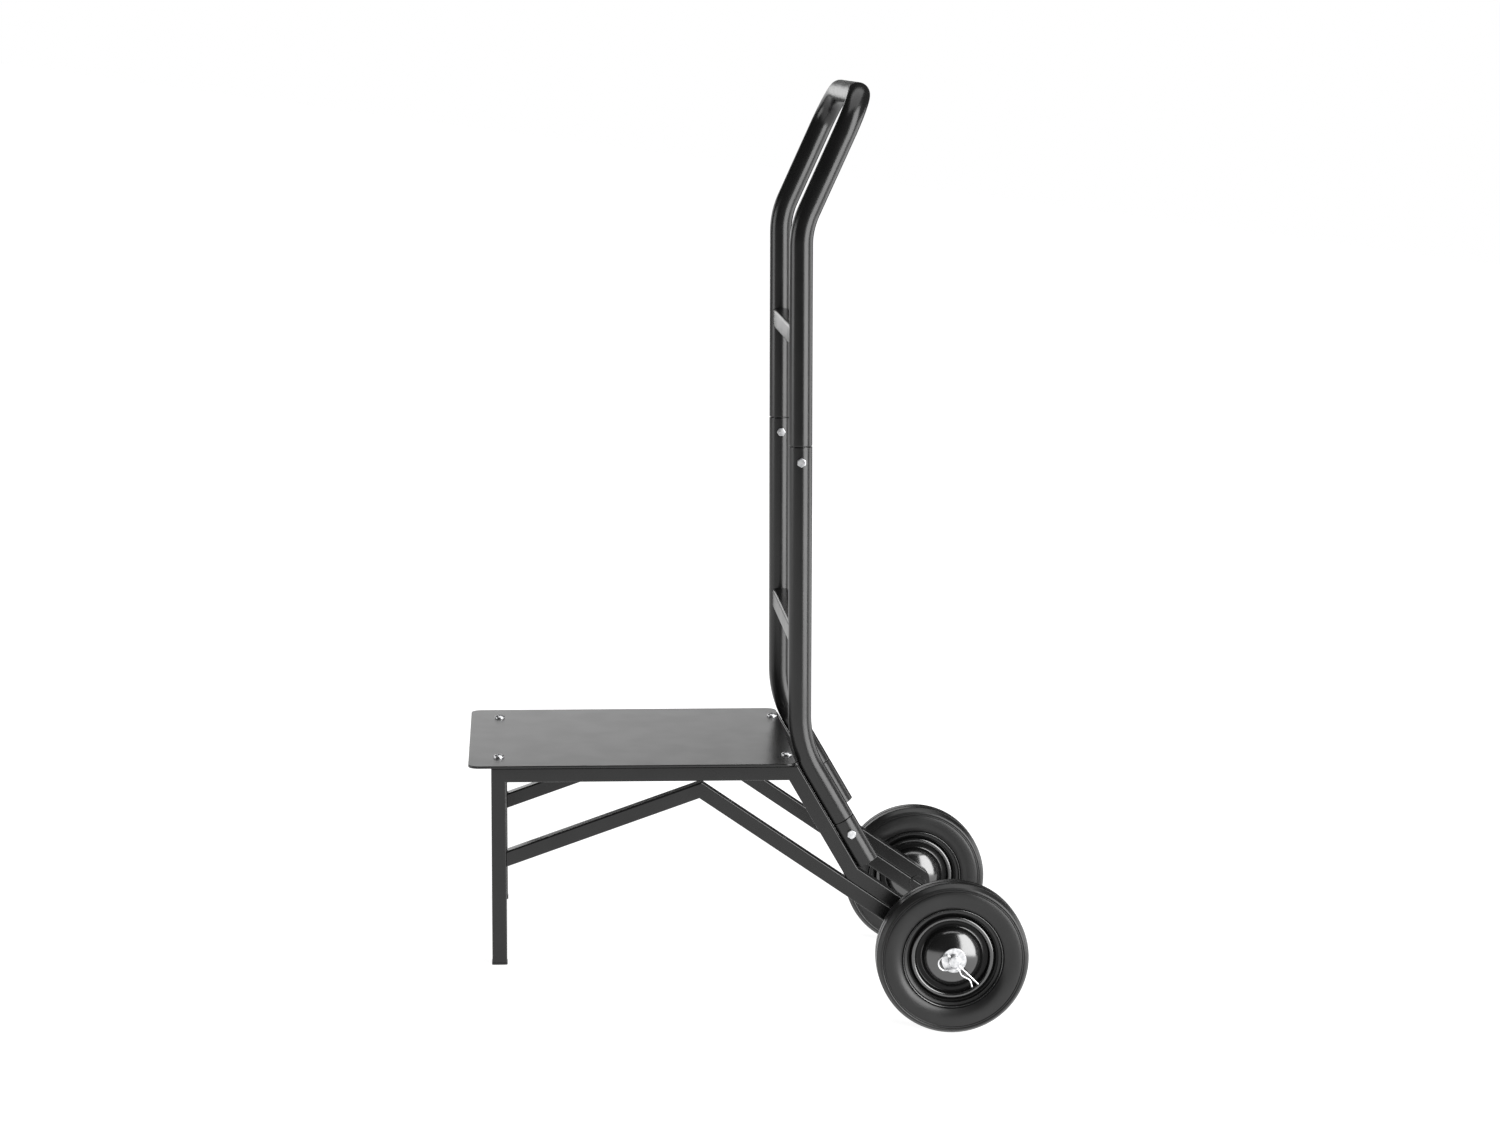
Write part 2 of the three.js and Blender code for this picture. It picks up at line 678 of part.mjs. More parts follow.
function addWheel({ name, sign }) {
  const x = sign * wheelX;
  add(wheels, `${name}_tyre`, turned(mirroredLoop(tyreHalf()), 36, x, sign), 'rubber');
  add(wheels, `${name}_rim_outer`, turned(rimHalf(), 28, x, sign), 'rim');
  add(wheels, `${name}_rim_inner`, turned(rimHalf(), 28, x, -sign), 'rim');
  const tube = [
    [-HUB_HALF, hubRadius], [HUB_HALF, hubRadius], [HUB_HALF, hubBore], [-HUB_HALF, hubBore],
  ];
  add(wheels, `${name}_hub_tube`, turned(tube, 20, x, sign), 'rim');
  for (const [place, outward] of [['outer', sign], ['inner', -sign]]) {
    const bush = [
      [HUB_HALF - BEARING_LENGTH, bearingRadius], [HUB_HALF, bearingRadius],
      [HUB_HALF, bearingBore], [HUB_HALF - BEARING_LENGTH, bearingBore],
    ];
    add(wheels, `${name}_bearing_${place}`, turned(bush, 24, x, outward), 'bearing');
  }
}

// The hairpin clip is drawn for the axle it holds: lengths along and across its straight leg
// are in axle radii, from the axle's middle.
const CLIP_ANGLE = 44.3;              // straight leg, degrees below horizontal
const CLIP_WIRE = 1.2;                // wire radius
const CLIP_LEG = 5.59;
const CLIP_HEEL = -1.075;             // where the straight leg ends
const CLIP_LOOP = { along: -0.8, across: 1.275, radius: 1.2 };
const CLIP_WAVE = [[1.3, 0.575], [2.56, 0.85], [3.88, 0.51], [4.55, 0.68], [5.15, 1.05]];

// Offsets outward from the wheel's middle plane.
const WASHER_AT = HUB_HALF + GAP;
const CLIP_AT = WASHER_AT + WASHER_THICK + 3 * CLIP_WIRE;
const AXLE_END = CLIP_AT + 4.4;
const COLLAR_AT = -HUB_HALF - GAP;

function addAxle({ name, sign }) {
  const x = sign * wheelX;
  const collarInner = COLLAR_AT - COLLAR_THICK;
  const bossOuter = collarInner - GAP;
  const bossInner = FRAME_X - half - 1.5 - wheelX;
  const boss = [
    [bossInner, bossRadius], [bossOuter, bossRadius],
    [bossOuter, AXLE_RADIUS + GAP], [bossInner, AXLE_RADIUS + GAP],
  ];
  add(cart, `${name}_axle_boss`, turned(boss, 20, x, sign), 'frame');
  const axle = [
    [bossInner + 14, 0], [bossInner + 14, AXLE_RADIUS], [collarInner, AXLE_RADIUS],
    [collarInner, bossRadius], [COLLAR_AT, bossRadius], [COLLAR_AT, AXLE_RADIUS],
    [AXLE_END - 1, AXLE_RADIUS], [AXLE_END, AXLE_RADIUS - 1], [AXLE_END, 0],
  ];
  const clipPlane = sign * (wheelX + CLIP_AT);
  const along = sideDirection(-CLIP_ANGLE).multiplyScalar(2 * AXLE_RADIUS);
  const hole = run(disc(CLIP_WIRE + GAP, 10),
    atX(along.clone().negate(), clipPlane), atX(along, clipPlane));
  add(cart, `${name}_stub_axle`, combine([turned(axle, 24, x, sign)], [hole]), 'zinc');
  const washer = [
    [WASHER_AT, AXLE_RADIUS + GAP], [WASHER_AT, WASHER_RADIUS],
    [WASHER_AT + WASHER_THICK, WASHER_RADIUS], [WASHER_AT + WASHER_THICK, AXLE_RADIUS + GAP],
  ];
  add(cart, `${name}_washer`, turned(washer, 24, x, sign), 'zinc');
  addClip(name, clipPlane);
}

// ---------------------------------------------------------------- hairpin clip

/** The wire: straight leg through the axle, one loop, then the waved leg. */
function clipCorners() {
  const { along, across, radius } = CLIP_LOOP;
  const corners = [[CLIP_LEG, 0], [CLIP_HEEL, 0.012]];
  for (let turn = 130; turn <= 335; turn += 41) {
    corners.push([
      along + radius * Math.cos(rad(turn)),
      across - radius * Math.sin(rad(turn)),
    ]);
  }
  return [...corners, ...CLIP_WAVE];
}

function addClip(name, x) {
  const along = sideDirection(-CLIP_ANGLE);
  const across = sideDirection(-CLIP_ANGLE - 90);
  const corners = clipCorners().map(([s, t]) => atX(
    along.clone().multiplyScalar(s * AXLE_RADIUS).addScaledVector(across, t * AXLE_RADIUS), x,
  ));
  const straight = corners.slice(0, 2);
  const curve = new THREE.CatmullRomCurve3(corners.slice(1), false, 'centripetal');
  const bends = curve.getPoints(34).slice(1);
  const stations = [...straight, ...bends];
  const path = new BentPath([stations[0], stations[1]], []);
  path.points = stations;
  path.tangents = stations.map((station, i) => {
    const before = stations[Math.max(i - 1, 0)];
    const after = stations[Math.min(i + 1, stations.length - 1)];
    return after.clone().sub(before).normalize();
  });
  add(cart, `${name}_hairpin_clip`, sweep(disc(CLIP_WIRE, 6), path), 'zinc');
}

// ---------------------------------------------------------------- assembly

addPlatform();
addCrossTube('front_cross_tube', frontBoltY);
addCrossTube('rear_cross_tube', rearTubeY);
addUpperLoop();
addCrossbar('lower_crossbar', BAR_HEIGHTS.lower);
addCrossbar('upper_crossbar', BAR_HEIGHTS.upper);
for (const side of sides) {
  addSideFrame(side);
  addPlatformBolts(side);
  addSocket(side);
  addLowerTube(side);
  addJointBolt(side, 'mid', midBolt);
  addJointBolt(side, 'socket', socketBolt);
  addWheel(side);
  addAxle(side);
}

// Lean about the axle until the front edges of the feet reach the floor.
const footReach = Math.hypot(LEG_FRONT + 0.5, LEG_FOOT);
const lean = Math.asin(TYRE_RADIUS / footReach) - Math.asin(LEG_FOOT / footReach);
const frontExtent = plateFront * Math.cos(lean) - plateTop * Math.sin(lean);
const axleY = -(frontExtent + TYRE_RADIUS) / 2;
cart.rotation.x = lean;
cart.position.set(0, axleY, TYRE_RADIUS);
wheels.position.set(0, axleY, TYRE_RADIUS);

export default group;
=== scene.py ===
"""Chair cart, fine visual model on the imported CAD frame.

Shapes are written in millimetres in two working frames, as in the CAD model: the cart's own
frame, level with its platform and with the axle at the origin, and the wheels' frame, which
is the same but not leaned. Both are turned into the row frame in metres as they are built.
"""
import json
import math

import bmesh
import bpy
from mathutils import Matrix, Quaternion, Vector


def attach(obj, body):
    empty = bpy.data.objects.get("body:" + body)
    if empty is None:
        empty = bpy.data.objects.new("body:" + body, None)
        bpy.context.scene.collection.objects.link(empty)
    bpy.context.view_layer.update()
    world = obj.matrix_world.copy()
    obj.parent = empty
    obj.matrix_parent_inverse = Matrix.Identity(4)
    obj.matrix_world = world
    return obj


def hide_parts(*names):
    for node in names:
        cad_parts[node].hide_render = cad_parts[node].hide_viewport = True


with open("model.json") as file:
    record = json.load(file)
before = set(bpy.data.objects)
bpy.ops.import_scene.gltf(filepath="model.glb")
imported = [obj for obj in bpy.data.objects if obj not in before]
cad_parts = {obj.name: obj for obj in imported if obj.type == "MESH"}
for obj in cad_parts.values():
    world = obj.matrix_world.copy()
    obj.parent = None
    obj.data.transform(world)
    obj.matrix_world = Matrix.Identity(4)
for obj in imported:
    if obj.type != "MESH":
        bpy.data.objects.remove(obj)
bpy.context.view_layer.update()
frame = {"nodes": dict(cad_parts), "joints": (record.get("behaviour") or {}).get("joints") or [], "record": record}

# ------------------------------------------------------------------ sizes, in millimetres

TYRE_RADIUS = 101.5
WHEEL_X = 234.4
TUBE = 20.0
TUBE_CORNER = 2.2
FRAME_X = 184.2
LEG_FRONT = 612.8
LEG_FOOT = 17.8
RAIL_TOP = 250.9
POST_ANGLE = 30.0
ARM_ANGLE = 34.4
ARM_SEAM = 1.9
ARM_TIP = 20.5
BRACE_PEAK_DROP = 1.4
BRACE_ON_LEG = 137.2
PLATE_WIDTH = 402.8
PLATE_OVERHANG = 30.7
PLATE_THICK = 3.5
PLATE_CORNER = 15.0
HANDLE_Y = -200.2
HANDLE_RADIUS = 15.5
HANDLE_WALL = 1.6
HANDLE_JOINT = 679.7
BEND_LOW = 277.5
BEND_UP = 968.3
BEND_ANGLE = 24.4
LOOP_TOP = 1142.0
LOWER_BEND_RADIUS = 150.0
UPPER_BEND_RADIUS = 110.0
LOOP_CORNER_RADIUS = 55.0
SOCKET_LENGTH = 66.5
BOLT_BELOW_JOINT = 20.5
BAR_TALL = 26.0
BAR_DEEP = 23.0
BAR_HEIGHTS = {"lower": 420.7, "upper": 821.9}
AXLE_RADIUS = 8.0
BOSS_RADIUS = 12.0
HUB_HALF = 24.6
GAP = 0.3
BOLT_X = 140.0

# ------------------------------------------------------------------ frames

joint = frame["joints"][0]
axle_height = joint["pos_m"][2]
axle_y = joint["pos_m"][1]
platform_mount = next(m for m in frame["record"]["mounts"] if m["name"] == "platform_top")
LEAN = math.atan2(-platform_mount["axis"][1], platform_mount["axis"][2])

MILLI = Matrix.Scale(0.001, 4)
AXLE = Matrix.Translation((0.0, axle_y, axle_height))
WHEELS = AXLE @ MILLI
CART = AXLE @ Matrix.Rotation(LEAN, 4, "X") @ MILLI
CART_TURN = Matrix.Rotation(LEAN, 4, "X")

X_AXIS = Vector((1, 0, 0))
UP = Vector((0, 0, 1))
REAR = Vector((0, 1, 0))
SIDES = (("left", 1), ("right", -1))


def side_direction(degrees):
    """A direction in the side view, in degrees above the rearward axis."""
    angle = math.radians(degrees)
    return Vector((0, math.cos(angle), math.sin(angle)))


def at_x(position, x):
    return Vector((x, position[1], position[2]))


def crossing(a, along_a, b, along_b):
    """Where two lines in the side view meet."""
    det = along_a.y * along_b.z - along_a.z * along_b.y
    t = ((b.y - a.y) * along_b.z - (b.z - a.z) * along_b.y) / det
    return a + along_a * t


# ------------------------------------------------------------------ materials


def node_material(name):
    material = bpy.data.materials.new(name)
    material.use_nodes = True
    nodes = material.node_tree.nodes
    return material, nodes, material.node_tree.links, nodes["Principled BSDF"]


def noise(nodes, links, scale, detail=3.0, roughness=0.5):
    """Noise in the object's own space, so that it moves with the piece."""
    place = nodes.new("ShaderNodeTexCoord")
    texture = nodes.new("ShaderNodeTexNoise")
    texture.inputs["Scale"].default_value = scale
    texture.inputs["Detail"].default_value = detail
    texture.inputs["Roughness"].default_value = roughness
    links.new(place.outputs["Object"], texture.inputs["Vector"])
    return texture


def ramp(nodes, links, source, low, high, start=0.35, stop=0.65):
    """Maps a texture's factor onto the range low to high."""
    shape = nodes.new("ShaderNodeMapRange")
    shape.inputs["From Min"].default_value = start
    shape.inputs["From Max"].default_value = stop
    shape.inputs["To Min"].default_value = low
    shape.inputs["To Max"].default_value = high
    links.new(source, shape.inputs["Value"])
    return shape.outputs["Result"]


def tint(nodes, links, source, dark, light):
    blend = nodes.new("ShaderNodeValToRGB")
    blend.color_ramp.elements[0].position = 0.35
    blend.color_ramp.elements[0].color = (*dark, 1)
    blend.color_ramp.elements[1].position = 0.65
    blend.color_ramp.elements[1].color = (*light, 1)
    links.new(source, blend.inputs["Fac"])
    return blend.outputs["Color"]


def bump(nodes, links, source, strength, distance, shader):
    lift = nodes.new("ShaderNodeBump")
    lift.inputs["Strength"].default_value = strength
    lift.inputs["Distance"].default_value = distance
    links.new(source, lift.inputs["Height"])
    links.new(lift.outputs["Normal"], shader.inputs["Normal"])


def coated(name, dark, light, rough_low, rough_high, grain, height):
    """Painted or moulded surface: mottled tone, uneven gloss and a fine grain."""
    material, nodes, links, shader = node_material(name)
    mottle = noise(nodes, links, 22.0, 4.0)
    links.new(tint(nodes, links, mottle.outputs["Fac"], dark, light),
              shader.inputs["Base Color"])
    uneven = noise(nodes, links, 25.0, 1.0)
    links.new(ramp(nodes, links, uneven.outputs["Fac"], rough_low, rough_high),
              shader.inputs["Roughness"])
    fine = noise(nodes, links, grain, 2.0)
    bump(nodes, links, fine.outputs["Fac"], 0.008, height, shader)
    return material


def distance_from_axle(nodes, links):
    """How far a point of a wheel is from the axle line, in metres, in the piece's own space."""
    place = nodes.new("ShaderNodeTexCoord")
    across = nodes.new("ShaderNodeVectorMath")
    across.operation = "MULTIPLY_ADD"
    across.inputs[1].default_value = (0, 1, 1)
    across.inputs[2].default_value = (0, -axle_y, -axle_height)
    length = nodes.new("ShaderNodeVectorMath")
    length.operation = "LENGTH"
    links.new(place.outputs["Object"], across.inputs[0])
    links.new(across.outputs["Vector"], length.inputs[0])
    return length.outputs["Value"]


# Radius in millimetres and coat weight: dome, recess, raised ring, channel, flange. The low weight in the recess
# and the channel is painted shade that darkens these hollows.
RIM_GLOSS_AND_PAINTED_SHADE = [(0.0, 1.0), (40.2, 1.0), (42.0, 0.05), (48.6, 0.05), (50.0, 1.0), (55.4, 1.0),
             (56.6, 0.05), (64.4, 0.05), (65.4, 1.0)]


def enamel_with_painted_channel_shade(name):
    """Glossy black enamel, bright on the raised rings, with painted shade in the recess and channels: the coat is
    cut there so they read dark.
    """
    material = coated(name, (0.005,) * 3, (0.007,) * 3, 0.22, 0.26, 900, 0.00002)
    nodes, links = material.node_tree.nodes, material.node_tree.links
    shader = nodes["Principled BSDF"]
    radius = distance_from_axle(nodes, links)
    share = nodes.new("ShaderNodeMath")
    share.operation = "MULTIPLY"
    share.inputs[1].default_value = 10.0
    links.new(radius, share.inputs[0])
    gloss = nodes.new("ShaderNodeValToRGB")
    links.new(share.outputs["Value"], gloss.inputs["Fac"])
    elements = gloss.color_ramp.elements
    while len(elements) < len(RIM_GLOSS_AND_PAINTED_SHADE):
        elements.new(0.5)
    for element, (stop, value) in zip(elements, RIM_GLOSS_AND_PAINTED_SHADE):
        element.position = stop / 100
        element.color = (value, value, value, 1)
    # Painted shade: the coat weight falls almost to nothing in the rim's recess and channel, so these hollows go
    # dark.
    links.new(gloss.outputs["Color"], shader.inputs["Coat Weight"])
    shader.inputs["Specular IOR Level"].default_value = 0.12
    shader.inputs["Coat IOR"].default_value = 2.0
    shader.inputs["Coat Roughness"].default_value = 0.17
    return material


def plated(name, dark, light, rough_low, rough_high):
    """Bright metal with faint clouding and fine scratches."""
    material, nodes, links, shader = node_material(name)
    shader.inputs["Metallic"].default_value = 1.0
    cloud = noise(nodes, links, 180.0, 4.0)
    links.new(tint(nodes, links, cloud.outputs["Fac"], dark, light),
              shader.inputs["Base Color"])
    uneven = noise(nodes, links, 400.0, 4.0)
    links.new(ramp(nodes, links, uneven.outputs["Fac"], rough_low, rough_high),
              shader.inputs["Roughness"])
    fine = noise(nodes, links, 2500.0, 2.0)
    bump(nodes, links, fine.outputs["Fac"], 0.15, 0.00003, shader)
    return material


MATERIALS = {
    "frame_paint": coated("powder_coat", (0.006,) * 3, (0.008,) * 3, 0.24, 0.27, 1400, 0.00003),
    "plate_paint": coated("plate_coat", (0.011,) * 3, (0.013,) * 3, 0.275, 0.29, 1400, 0.00001),
    # Rim enamel with painted shade in its channels.
    "rim_paint": enamel_with_painted_channel_shade("rim_enamel_painted_channel_shade"),
    "zinc": plated("zinc_plate", (0.58, 0.59, 0.6), (0.88, 0.88, 0.89), 0.28, 0.38),
    "bearing_steel": plated("bearing_steel", (0.5, 0.5, 0.51), (0.62, 0.62, 0.63), 0.3, 0.4),
    "tyre_rubber": coated("tyre_rubber", (0.006,) * 3, (0.009,) * 3, 0.32, 0.38, 1100, 0.00003),
    "cap_plastic": coated("cap_plastic", (0.006,) * 3, (0.008,) * 3, 0.5, 0.6, 1300, 0.00003),
}

# ------------------------------------------------------------------ mesh building


def piece(name, vertices, faces, slot, nodes, place=CART, body="cart_frame", sharp=32):
    """A finished piece: shaded, given its material, riding its body, in place of CAD nodes."""
    mesh = bpy.data.meshes.new(name)
    mesh.from_pydata([place @ Vector(v) for v in vertices], [], faces)
    mesh.validate()
    work = bmesh.new()
    work.from_mesh(mesh)
    bmesh.ops.remove_doubles(work, verts=work.verts, dist=2e-6)
    bmesh.ops.recalc_face_normals(work, faces=work.faces)
    work.to_mesh(mesh)
    work.free()
    mesh.polygons.foreach_set("use_smooth", [True] * len(mesh.polygons))
    mesh.set_sharp_from_angle(angle=math.radians(sharp))
    mesh.materials.append(MATERIALS[slot])
    thing = bpy.data.objects.new(name, mesh)
    bpy.context.scene.collection.objects.link(thing)
    level = thing.modifiers.new("level_faces", "WEIGHTED_NORMAL")
    level.keep_sharp = True
    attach(thing, body)
    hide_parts(*nodes)
    return thing


def joined(*parts):
    """Several (vertices, faces) lists as one."""
    vertices, faces = [], []
    for more_vertices, more_faces in parts:
        base = len(vertices)
        vertices += more_vertices
        faces += [[base + i for i in face] for face in more_faces]
    return vertices, faces


def bridged(rings, closed_start=True, closed_end=True, loop=False):
    """Skin over a list of equal rings of points."""
    count = len(rings[0])
    vertices = [p for ring in rings for p in ring]
    faces = []
    spans = len(rings) if loop else len(rings) - 1
    for i in range(spans):
        a, b = i * count, ((i + 1) % len(rings)) * count
        for j in range(count):
            k = (j + 1) % count
            faces.append([a + j, a + k, b + k, b + j])
    if closed_start and not loop:
        faces.append(list(range(count))[::-1])
    if closed_end and not loop:
        faces.append([(len(rings) - 1) * count + j for j in range(count)])
    return vertices, faces


def circle(radius, sides):
    turns = [2 * math.pi * i / sides for i in range(sides)]
    return [(radius * math.cos(t), radius * math.sin(t)) for t in turns]


def rounded(width, height, radius, steps=5):
    """A rectangle with round corners, as (u, v) points."""
    corners = []
    for quarter in range(4):
        sx = 1 if quarter in (0, 3) else -1
        sy = 1 if quarter < 2 else -1
        for i in range(steps + 1):
            angle = math.pi / 2 * (quarter + i / steps)
            corners.append((sx * (width / 2 - radius) + radius * math.cos(angle),
                            sy * (height / 2 - radius) + radius * math.sin(angle)))
    return corners


def axes_across(along):
    across = Vector((0, 1, 0)) if abs(along.x) > 0.9 else X_AXIS
    return across, along.cross(across)


def cut_ring(profile, anchor, along, normal):
    """The profile swept along a direction and cut by the plane through anchor."""
    across, up = axes_across(along)
    ring = []
    for u, v in profile:
        offset = across * u + up * v
        ring.append(anchor + offset - along * (offset.dot(normal) / along.dot(normal)))
    return ring


def run(profile, start, end, start_cut=None, end_cut=None):
    """A straight run of the profile, with a cutting plane's normal for each end."""
    along = (end - start).normalized()
    return bridged([
        cut_ring(profile, start, along, start_cut or along),
        cut_ring(profile, end, along, end_cut or along),
    ])


def eased_run(profile_at, start, end, ease=0.8):
    """A straight run whose end edges are rounded; profile_at(inset) gives the section."""
    along = (end - start).normalized()
    steps = [(ease * (1 - math.sin(a)), ease * (1 - math.cos(a)))
             for a in (0, math.pi / 6, math.pi / 3, math.pi / 2)]
    rings = [cut_ring(profile_at(inset), start + along * back, along, along)
             for inset, back in steps]
    rings += [cut_ring(profile_at(inset), end - along * back, along, along)
              for inset, back in reversed(steps)]
    return bridged(rings)


def lathe(outline, segments, centre_x=0.0, outward=1):
    """A closed [axial, radius] outline turned about X."""
    rings = []
    for axial, radius in outline:
        radius = max(radius, 1e-4)
        rings.append([Vector((centre_x + outward * axial, y, z))
                      for y, z in circle(radius, segments)])
    return bridged(rings, loop=True)


def sweep(stations, radius, sides, caps=True):
    """A round section carried along (point, tangent) stations without twisting."""
    tangent = stations[0][1]
    across, up = axes_across(tangent)
    rings = []
    for point, direction in stations:
        turn = tangent.rotation_difference(direction)
        across, up = turn @ across, turn @ up
        tangent = direction
        rings.append([point + across * u + up * v for u, v in circle(radius, sides)])
    return bridged(rings, caps, caps)


def bent(corners, radii, step=3.0):
    """Stations along straights joined by round bends."""
    stations = [(corners[0], (corners[1] - corners[0]).normalized())]
    for before, corner, after, radius in zip(corners, corners[1:], corners[2:], radii):
        into = (corner - before).normalized()
        out = (after - corner).normalized()
        angle = into.angle(out)
        first = corner - into * radius * math.tan(angle / 2)
        axis = into.cross(out).normalized()
        centre = first + axis.cross(into) * radius
        count = max(2, math.ceil(math.degrees(angle) / step))
        for i in range(count + 1):
            turn = Quaternion(axis, angle * i / count)
            stations.append((centre + turn @ (first - centre), turn @ into))
    stations.append((corners[-1], (corners[-1] - corners[-2]).normalized()))
    return stations


def hex_radius(across_flats, angle):
    return across_flats / 2 / math.cos((angle + math.pi / 6) % (math.pi / 3) - math.pi / 6)


def hex_rings(across_flats, height, chamfer_both=False, samples=48):
    """(angle, radius, height) rings of a hexagon whose corners are chamfered by a cone."""
    flat = across_flats / 2
    slope = math.tan(math.radians(30))
    angles = [2 * math.pi * i / samples for i in range(samples)]
    wall = [hex_radius(across_flats, a) for a in angles]
    top = [(a, r, height - max(0.0, r - flat * 0.96) * slope) for a, r in zip(angles, wall)]
    bottom = [(a, r, max(0.0, r - flat * 0.96) * slope if chamfer_both else 0.0)
              for a, r in zip(angles, wall)]
    face_top = [(a, flat * 0.96, height) for a in angles]
    face_bottom = [(a, flat * 0.96, 0.0) for a in angles]
    return [face_bottom, bottom, top, face_top]


def stand(rings, base, along, turn=0.0):
    """Rings of (angle, radius, height) stood on base and pointing along a direction."""
    across, up = axes_across(along)
    return [[base + across * (r * math.cos(a + turn)) + up * (r * math.sin(a + turn)) + along * h
             for a, r, h in ring] for ring in rings]


def stack(pairs, sides=48):
    """(angle, radius, height) rings for round steps given as (radius, height)."""
    angles = [2 * math.pi * i / sides for i in range(sides)]
    return [[(a, max(r, 1e-4), h) for a in angles] for r, h in pairs]


# ------------------------------------------------------------------ side-view layout

HALF = TUBE / 2
leg_y = -LEG_FRONT + HALF
rail_z = RAIL_TOP - HALF
post_along = side_direction(POST_ANGLE - 90)
post_normal = side_direction(POST_ANGLE)
arm_along = side_direction(-ARM_ANGLE)
arm_normal = side_direction(90 - ARM_ANGLE)

handle_bend = Vector((0, HANDLE_Y, BEND_LOW))
post_line = handle_bend - post_normal * (HALF + GAP + HANDLE_RADIUS)
arm_seam = arm_normal * ARM_SEAM
upper_arm_line = arm_seam + arm_normal * HALF
brace_line = arm_seam - arm_normal * HALF

front_corner = Vector((0, leg_y, rail_z))
rear_corner = crossing(front_corner, REAR, post_line, post_along)
post_foot = crossing(post_line, post_along, upper_arm_line, arm_along)
peak_top = crossing(arm_seam, arm_along, Vector((0, 0, RAIL_TOP - TUBE - BRACE_PEAK_DROP)), REAR)
brace_slope = math.atan2(peak_top.z - BRACE_ON_LEG, peak_top.y - (leg_y + HALF))
front_brace_along = Vector((0, math.cos(brace_slope), math.sin(brace_slope)))
front_brace_line = peak_top - Vector((0, -front_brace_along.z, front_brace_along.y)) * HALF
brace_peak = crossing(front_brace_line, front_brace_along, brace_line, arm_along)
brace_foot = crossing(front_brace_line, front_brace_along, Vector((0, leg_y + HALF, 0)), UP)

post_rear_line = post_line + post_normal * HALF
arm_top_line = upper_arm_line + arm_normal * HALF
heel = crossing(post_rear_line, post_along, arm_top_line, arm_along) - post_along * 0.8
socket_low = crossing(handle_bend, post_along, heel, post_normal)
socket_high = socket_low - post_along * SOCKET_LENGTH
socket_bolt = socket_high + post_along * (BOLT_BELOW_JOINT - GAP)
mid_joint = Vector((0, HANDLE_Y, HANDLE_JOINT))
mid_bolt = Vector((0, HANDLE_Y, HANDLE_JOINT - BOLT_BELOW_JOINT))

# ------------------------------------------------------------------ base frame

square = rounded(TUBE, TUBE, TUBE_CORNER)


def mitre(a, b):
    return (a + b).normalized()


def arm(x, line, start, start_cut):
    """A square tube whose tip is rounded about the axle."""
    across, up = X_AXIS, arm_along.cross(X_AXIS)
    side = line.dot(up)
    rings = [cut_ring(square, at_x(start, x), arm_along, start_cut)]
    foot = line - arm_along * line.dot(arm_along)
    for back in (30, 12):
        rings.append(cut_ring(square, at_x(foot - arm_along * back, x), arm_along, arm_along))
    for inset in (0.0, 0.35, 0.8):
        ring = []
        for u, v in square:
            from_axle = side + v
            reach = math.sqrt(max(ARM_TIP ** 2 - from_axle ** 2, 0)) - 0.8 + inset
            shrink = 1 - 0.05 * inset
            ring.append(at_x(foot, x) + across * u * shrink + up * v + arm_along * reach)
        rings.append(ring)
    return bridged(rings)


def side_frame(name, sign):
    """Leg, rail, post, arms, braces and foot cap of one side."""
    x = sign * FRAME_X
    corner_cut = mitre(UP, REAR)
    rear_cut = mitre(REAR, post_along)
    foot_cut = mitre(post_along, arm_along)
    peak_cut = mitre(front_brace_along, arm_along)
    leg_foot = Vector((x, leg_y, -LEG_FOOT + 3))
    runs = {
        "front_leg": (leg_foot, at_x(front_corner, x), None, corner_cut),
        "top_rail": (at_x(front_corner, x), at_x(rear_corner, x), corner_cut, rear_cut),
        "rear_post": (at_x(rear_corner, x), at_x(post_foot, x), rear_cut, foot_cut),
        "brace_front": (at_x(brace_foot, x), at_x(brace_peak, x), REAR, peak_cut),
    }
    for part, (start, end, start_cut, end_cut) in runs.items():
        node = f"{name}_{part}"
        piece(f"v_{node}", *run(square, start, end, start_cut, end_cut), "frame_paint", [node])
    upper = arm(x, upper_arm_line, post_foot, foot_cut)
    piece(f"v_{name}_upper_arm", *upper, "frame_paint", [f"{name}_upper_arm"])
    rear = arm(x, brace_line, brace_peak, peak_cut)
    piece(f"v_{name}_brace_rear", *rear, "frame_paint", [f"{name}_brace_rear"])
    cap_side = TUBE + 1
    cap = eased_run(lambda inset: rounded(cap_side - 2 * inset, cap_side - 2 * inset, 2.2),
                    Vector((x, leg_y, -LEG_FOOT)), Vector((x, leg_y, -LEG_FOOT + 3)), 0.4)
    piece(f"v_{name}_foot_cap", *cap, "cap_plastic", [f"{name}_foot_cap"])


# ------------------------------------------------------------------ platform

plate_top = RAIL_TOP + GAP + PLATE_THICK
plate_front = -LEG_FRONT - PLATE_OVERHANG
cos_post = math.cos(math.radians(POST_ANGLE))
plate_rear = (handle_bend + post_along * ((handle_bend.z - plate_top) / cos_post)).y \
    - HANDLE_RADIUS / cos_post - GAP
front_bolt_y = leg_y + 0.1
rear_bolt_y = rear_corner.y - 5.5


def platform():
    """The plate with its eased edges, and the two tubes that carry it."""
    length = plate_rear - plate_front
    middle = (plate_rear + plate_front) / 2

    def outline(inset):
        return rounded(PLATE_WIDTH - 2 * inset, length - 2 * inset, PLATE_CORNER - inset, 10)

    rings = []
    for inset, height in ((0.9, 0), (0.25, 0.25), (0, 0.9), (0, PLATE_THICK - 0.9),
                          (0.25, PLATE_THICK - 0.25), (0.9, PLATE_THICK)):
        base = Vector((0, middle, plate_top - PLATE_THICK + height))
        rings.append([base + Vector((u, v, 0)) for u, v in outline(inset)])
    piece("v_platform_plate", *bridged(rings), "plate_paint", ["platform_plate"])
    for name, y in (("front_cross_tube", front_bolt_y), ("rear_cross_tube", rear_bolt_y)):
        reach = FRAME_X - HALF + 0.5
        tube = run(square, Vector((-reach, y, rail_z)), Vector((reach, y, rail_z)))
        piece(f"v_{name}", *tube, "frame_paint", [name])


